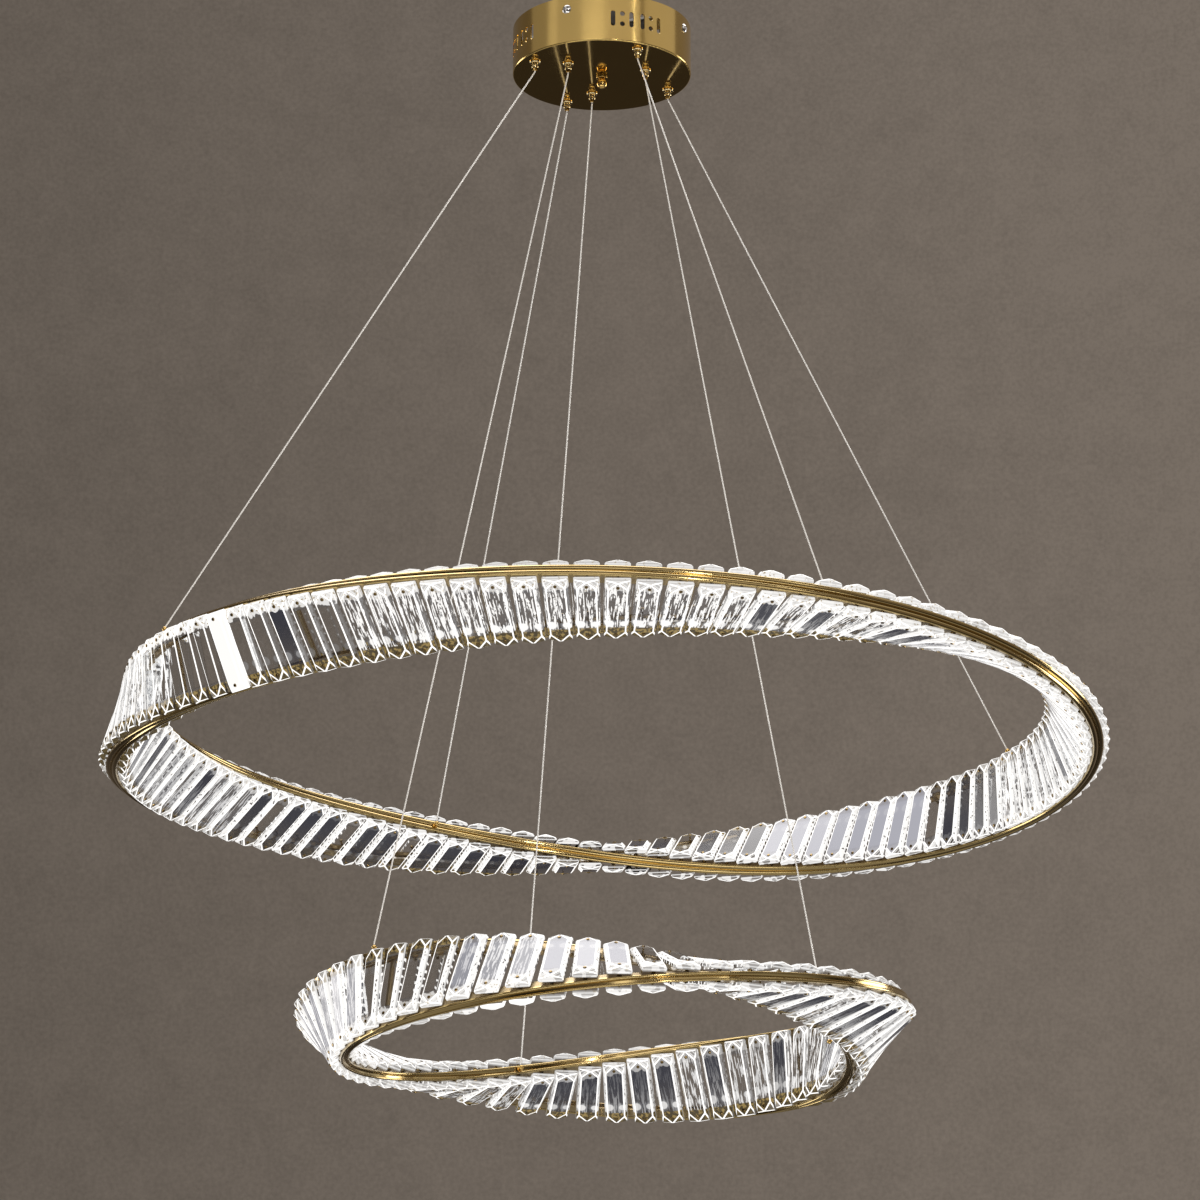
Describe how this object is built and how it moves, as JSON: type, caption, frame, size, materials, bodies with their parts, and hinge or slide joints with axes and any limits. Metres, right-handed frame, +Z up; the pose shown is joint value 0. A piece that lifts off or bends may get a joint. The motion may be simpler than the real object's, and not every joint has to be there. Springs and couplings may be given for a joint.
{
  "type": "crystal ring chandelier",
  "caption": "Pendant chandelier of two twisted, crystal-clad light rings hung by steel wires from a round ceiling canopy, with a height release at each wire.",
  "frame": {"origin": "middle of the ceiling bracket's top face, where it meets the ceiling", "axes": "+Z up through the ceiling, -Z down along the drop, -Y towards the front of the picture, +X to its right"},
  "size_m": [0.9756, 0.9959, 1.0757],
  "materials": {
    "canopy_gold": "polished gold plating",
    "fitting_gold": "polished gold plating",
    "trim_gold": "polished gold plating",
    "frame_bronze": "dark bronze, satin",
    "zinc_steel": "zinc plated",
    "chrome_screw": "bright chrome",
    "wire_steel": "bright drawn wire",
    "driver_case": "moulded, matte",
    "terminal_plastic": "moulded, satin",
    "led_lens": "lit warm white diffuser",
    "crystal": "clear cut crystal, polished"
  },
  "bodies": {
    "canopy": {"canopy_shell": "canopy_gold", "ceiling_bracket": "zinc_steel", "side_screws": "chrome_screw", "upper_led_driver": "driver_case", "lower_led_driver": "driver_case", "terminal_block": "terminal_plastic", "finial": "fitting_gold", "finial_nut": "zinc_steel", "gripper_barrels": "fitting_gold", "gripper_nuts": "zinc_steel", "wire_tails": "wire_steel", "upper_wire_1": "wire_steel", "upper_wire_2": "wire_steel", "upper_wire_3": "wire_steel", "upper_wire_4": "wire_steel", "lower_wire_1": "wire_steel", "lower_wire_2": "wire_steel", "lower_wire_3": "wire_steel"},
    "upper_ring": {"upper_frame": "frame_bronze", "upper_trim_a": "trim_gold", "upper_trim_b": "trim_gold", "upper_led_strip_a": "led_lens", "upper_led_strip_b": "led_lens", "upper_crystals_front": "crystal", "upper_crystals_back": "crystal", "upper_anchors": "fitting_gold"},
    "lower_ring": {"lower_frame": "frame_bronze", "lower_trim_a": "trim_gold", "lower_trim_b": "trim_gold", "lower_led_strip_a": "led_lens", "lower_led_strip_b": "led_lens", "lower_crystals_front": "crystal", "lower_crystals_back": "crystal", "lower_anchors": "fitting_gold"},
    "upper_plunger_1": {"upper_plunger_1": "fitting_gold"},
    "upper_plunger_2": {"upper_plunger_2": "fitting_gold"},
    "upper_plunger_3": {"upper_plunger_3": "fitting_gold"},
    "upper_plunger_4": {"upper_plunger_4": "fitting_gold"},
    "lower_plunger_1": {"lower_plunger_1": "fitting_gold"},
    "lower_plunger_2": {"lower_plunger_2": "fitting_gold"},
    "lower_plunger_3": {"lower_plunger_3": "fitting_gold"}
  },
  "joints": [
    {"name": "upper_ring_height", "type": "slide", "parent": "canopy", "child": "upper_ring", "axis": [0, 0, 1], "range_m": [0, 0.3], "deforming": ["upper_wire_1", "upper_wire_2", "upper_wire_3", "upper_wire_4"]},
    {"name": "lower_ring_height", "type": "slide", "parent": "canopy", "child": "lower_ring", "axis": [0, 0, 1], "range_m": [0, 0.285], "deforming": ["lower_wire_1", "lower_wire_2", "lower_wire_3"]},
    {"name": "upper_release_1", "type": "slide", "parent": "canopy", "child": "upper_plunger_1", "axis": [0, 0, 1], "range_m": [0, 0.002], "stiffness_N_per_m": 400, "springref_m": -0.003},
    {"name": "upper_release_2", "type": "slide", "parent": "canopy", "child": "upper_plunger_2", "axis": [0, 0, 1], "range_m": [0, 0.002], "stiffness_N_per_m": 400, "springref_m": -0.003},
    {"name": "upper_release_3", "type": "slide", "parent": "canopy", "child": "upper_plunger_3", "axis": [0, 0, 1], "range_m": [0, 0.002], "stiffness_N_per_m": 400, "springref_m": -0.003},
    {"name": "upper_release_4", "type": "slide", "parent": "canopy", "child": "upper_plunger_4", "axis": [0, 0, 1], "range_m": [0, 0.002], "stiffness_N_per_m": 400, "springref_m": -0.003},
    {"name": "lower_release_1", "type": "slide", "parent": "canopy", "child": "lower_plunger_1", "axis": [0, 0, 1], "range_m": [0, 0.002], "stiffness_N_per_m": 400, "springref_m": -0.003},
    {"name": "lower_release_2", "type": "slide", "parent": "canopy", "child": "lower_plunger_2", "axis": [0, 0, 1], "range_m": [0, 0.002], "stiffness_N_per_m": 400, "springref_m": -0.003},
    {"name": "lower_release_3", "type": "slide", "parent": "canopy", "child": "lower_plunger_3", "axis": [0, 0, 1], "range_m": [0, 0.002], "stiffness_N_per_m": 400, "springref_m": -0.003}
  ]
}
